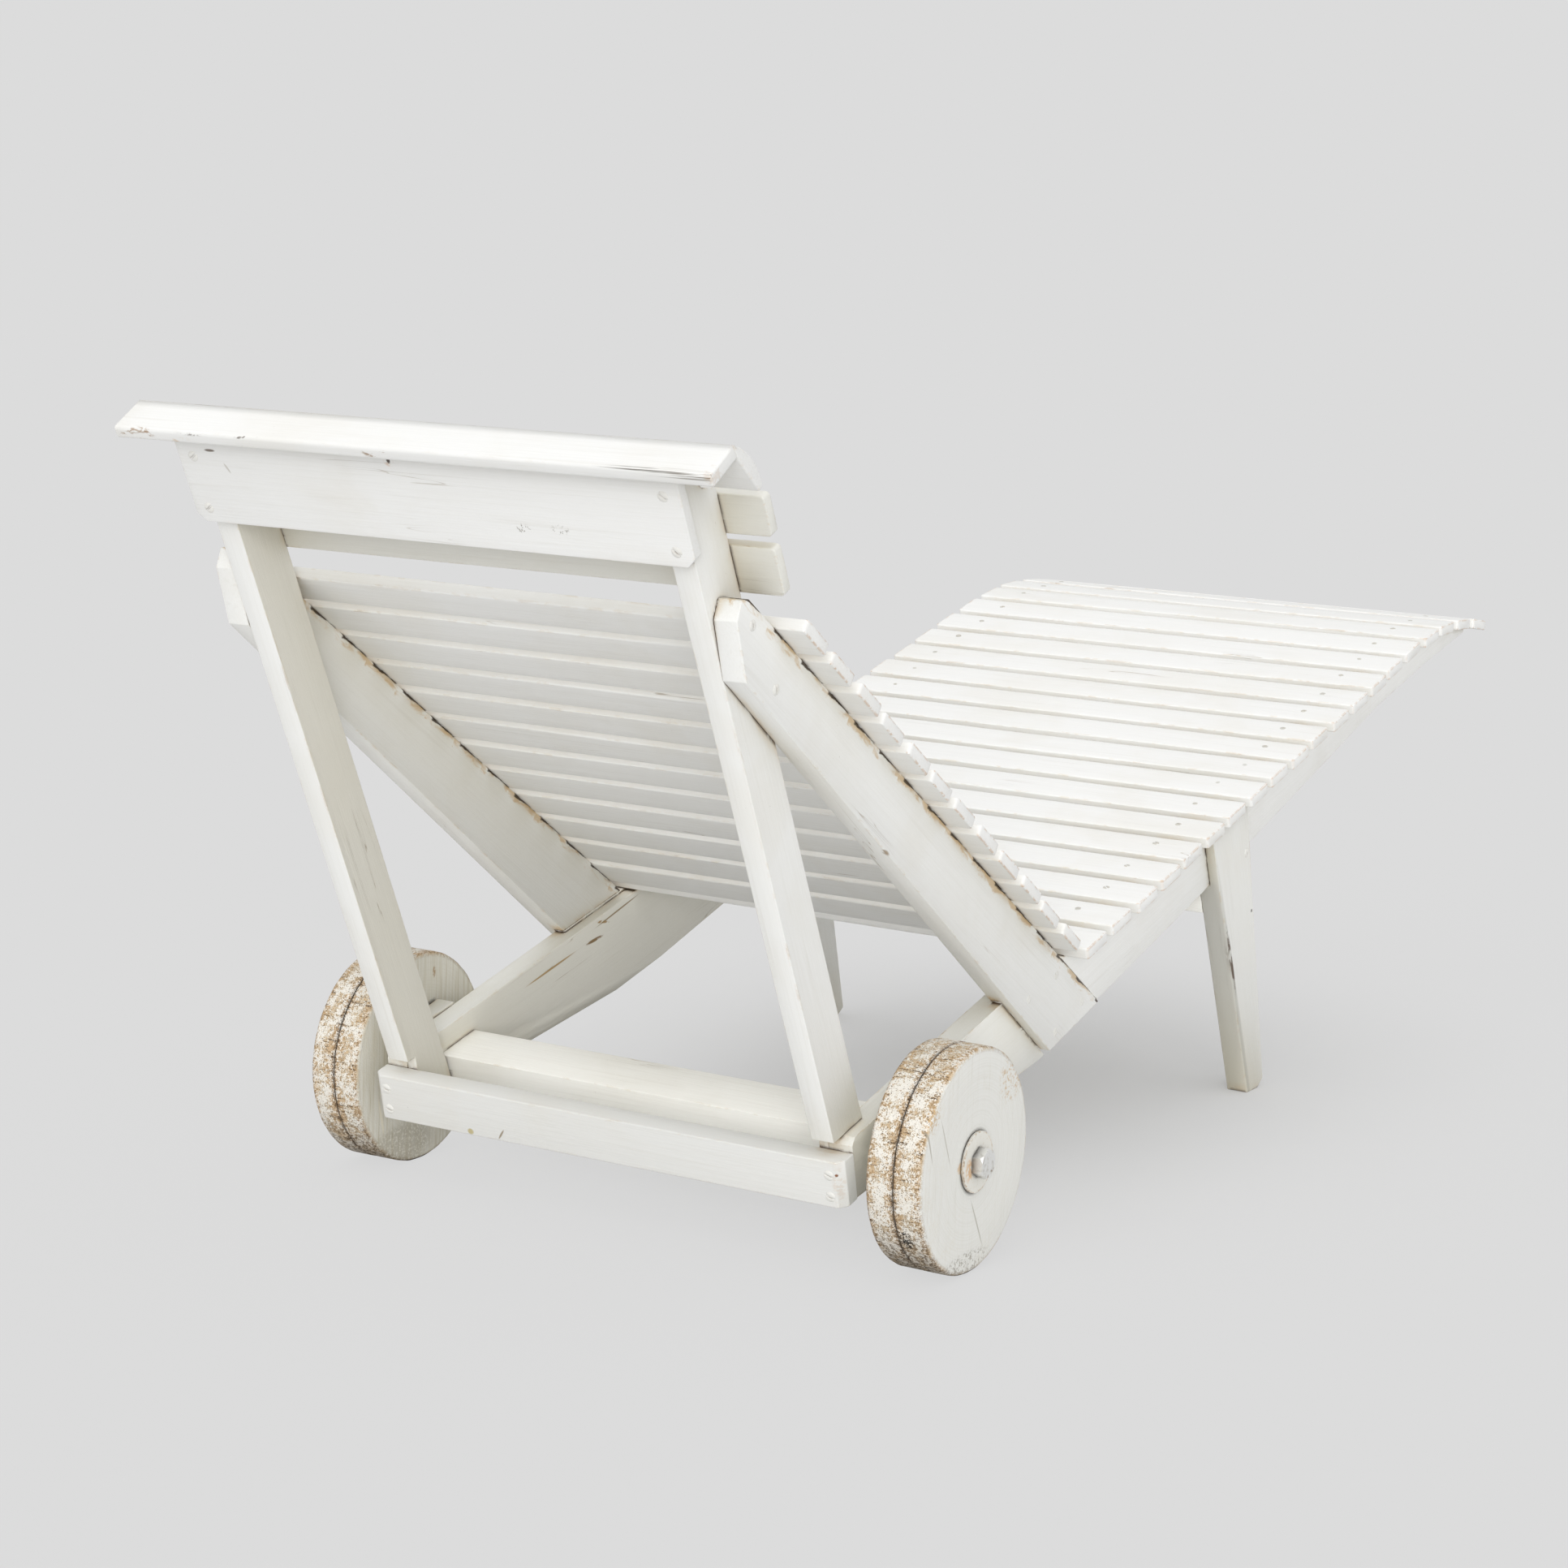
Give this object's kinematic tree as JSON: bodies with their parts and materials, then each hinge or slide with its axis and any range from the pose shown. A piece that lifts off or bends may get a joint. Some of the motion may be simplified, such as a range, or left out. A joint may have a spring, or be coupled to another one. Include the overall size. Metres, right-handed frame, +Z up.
{
  "type": "wheeled deck chair",
  "caption": "Long slatted wooden deck chair with a fixed sloping back, a raised headrest on leaning posts, solid wooden wheels under the head end and short tapered legs.",
  "frame": {"origin": "middle of the overall box on the floor, under the seat", "axes": "+Z up, +Y towards the head end, X across with the sitter's right-hand side at -X"},
  "size_m": [0.666, 1.7586, 0.7262],
  "materials": {
    "painted_frame": "worn brushed white paint on softwood boards",
    "painted_slats": "worn brushed white paint on softwood slats",
    "shaded_wood": "thin greyed paint on rough softwood",
    "worn_wheels": "scuffed paint and dirt on layered wood",
    "painted_iron": "iron with worn paint and rust"
  },
  "bodies": {
    "frame": {"seat_rail_right": "painted_frame", "seat_rail_left": "painted_frame", "back_rail_right": "painted_frame", "back_rail_left": "painted_frame", "wheel_beam_right": "painted_frame", "wheel_beam_left": "painted_frame", "front_leg_right": "painted_frame", "front_leg_left": "painted_frame", "headrest_post_right": "painted_frame", "headrest_post_left": "painted_frame", "rear_cross_rail": "painted_frame", "axle_beam": "painted_frame", "front_cross_rail": "shaded_wood", "headrest_board": "painted_slats", "headrest_cap_rear": "painted_slats", "headrest_cap_front": "painted_slats", "headrest_slat_upper": "painted_slats", "headrest_slat_lower": "painted_slats", "axle_block_right": "worn_wheels", "axle_block_left": "worn_wheels", "axle_screws": "painted_iron", "axle_washers": "painted_iron", "seat_slat_01": "painted_slats", "seat_slat_02": "painted_slats", "seat_slat_03": "painted_slats", "seat_slat_04": "painted_slats", "seat_slat_05": "painted_slats", "seat_slat_06": "painted_slats", "seat_slat_07": "painted_slats", "seat_slat_08": "painted_slats", "seat_slat_09": "painted_slats", "seat_slat_10": "painted_slats", "seat_slat_11": "painted_slats", "seat_slat_12": "painted_slats", "seat_slat_13": "painted_slats", "seat_slat_14": "painted_slats", "seat_slat_15": "painted_slats", "seat_slat_16": "painted_slats", "seat_slat_17": "painted_slats", "seat_slat_18": "painted_slats", "seat_slat_19": "painted_slats", "seat_slat_20": "painted_slats", "back_slat_01": "painted_slats", "back_slat_02": "painted_slats", "back_slat_03": "painted_slats", "back_slat_04": "painted_slats", "back_slat_05": "painted_slats", "back_slat_06": "painted_slats", "back_slat_07": "painted_slats", "back_slat_08": "painted_slats", "back_slat_09": "painted_slats", "back_slat_10": "painted_slats", "back_slat_11": "painted_slats", "back_slat_12": "painted_slats"},
    "wheel_right": {"wheel_right_inner_disc": "worn_wheels", "wheel_right_outer_disc": "worn_wheels"},
    "wheel_left": {"wheel_left_inner_disc": "worn_wheels", "wheel_left_outer_disc": "worn_wheels"}
  },
  "joints": [
    {"name": "wheel_right_spin", "type": "hinge", "parent": "frame", "child": "wheel_right", "pos_m": [-0.2935, 0.46737, 0.1], "axis": [1, 0, 0], "continuous": true},
    {"name": "wheel_left_spin", "type": "hinge", "parent": "frame", "child": "wheel_left", "pos_m": [0.2935, 0.46737, 0.1], "axis": [1, 0, 0], "continuous": true}
  ]
}
